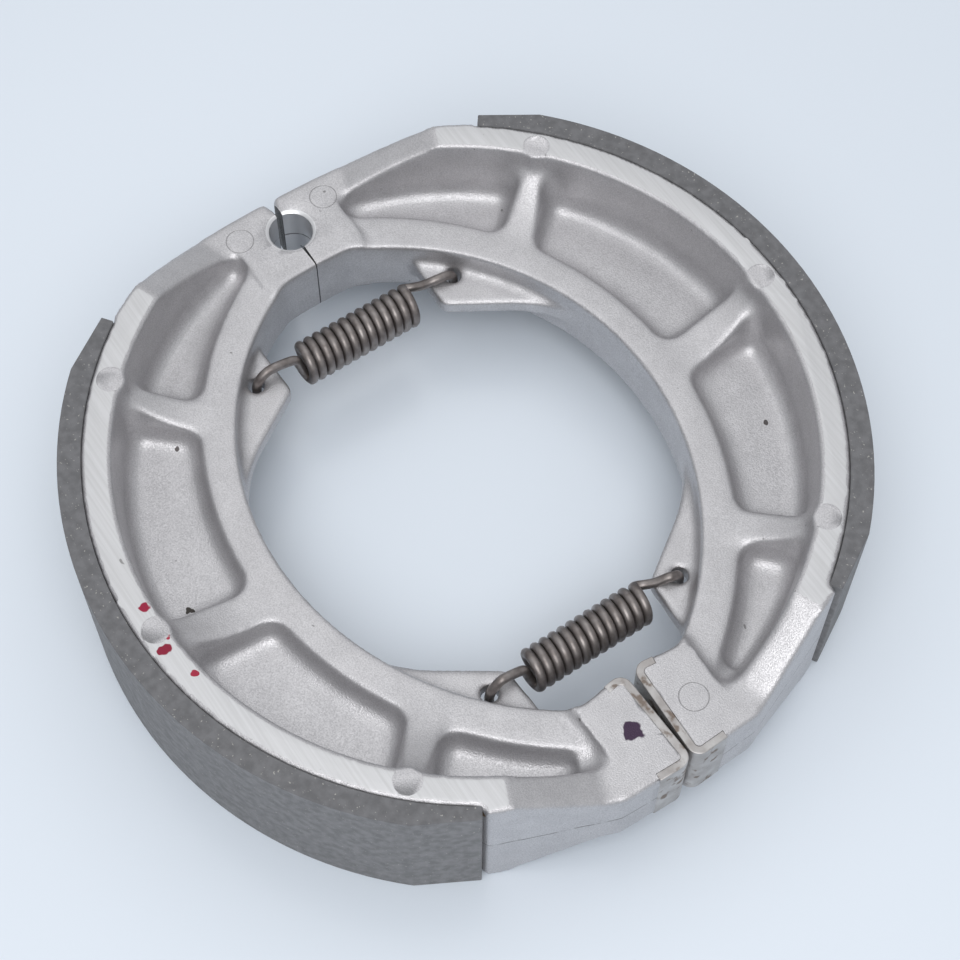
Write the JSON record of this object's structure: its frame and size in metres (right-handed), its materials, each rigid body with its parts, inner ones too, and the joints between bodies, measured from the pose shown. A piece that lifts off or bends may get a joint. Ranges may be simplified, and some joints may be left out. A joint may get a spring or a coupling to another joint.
{
  "type": "drum brake shoe set",
  "caption": "Drum brake shoe pair: cast C-shaped shoes with bonded linings, split anchor-pin bore, steel cam plates and two return springs.",
  "frame": {"origin": "on the axis of the anchor-pin bore that the two shoes share, halfway through the shoes' width", "axes": "+Z along the anchor pin's axis; +X from the pin to the brake cam between the steel plates; +Y towards the right shoe"},
  "size_m": [0.1215, 0.1262, 0.028],
  "materials": {
    "cast_aluminium": "satin",
    "friction_lining": "matte",
    "plate_steel": "satin",
    "spring_steel": "satin"
  },
  "bodies": {
    "left_shoe": {"left_shoe_casting": "cast_aluminium", "left_lining": "friction_lining", "left_cam_plate": "plate_steel", "pivot_end_spring": "spring_steel", "cam_end_spring": "spring_steel"},
    "right_shoe": {"right_shoe_casting": "cast_aluminium", "right_lining": "friction_lining", "right_cam_plate": "plate_steel"}
  },
  "joints": [
    {"name": "shoe_pivot", "type": "hinge", "parent": "left_shoe", "child": "right_shoe", "pos_m": [0, 0, 0], "axis": [0, 0, 1], "range_deg": [0, 8], "stiffness_Nm_per_rad": 180, "springref_deg": -1.72, "deforming": ["pivot_end_spring", "cam_end_spring"]}
  ]
}
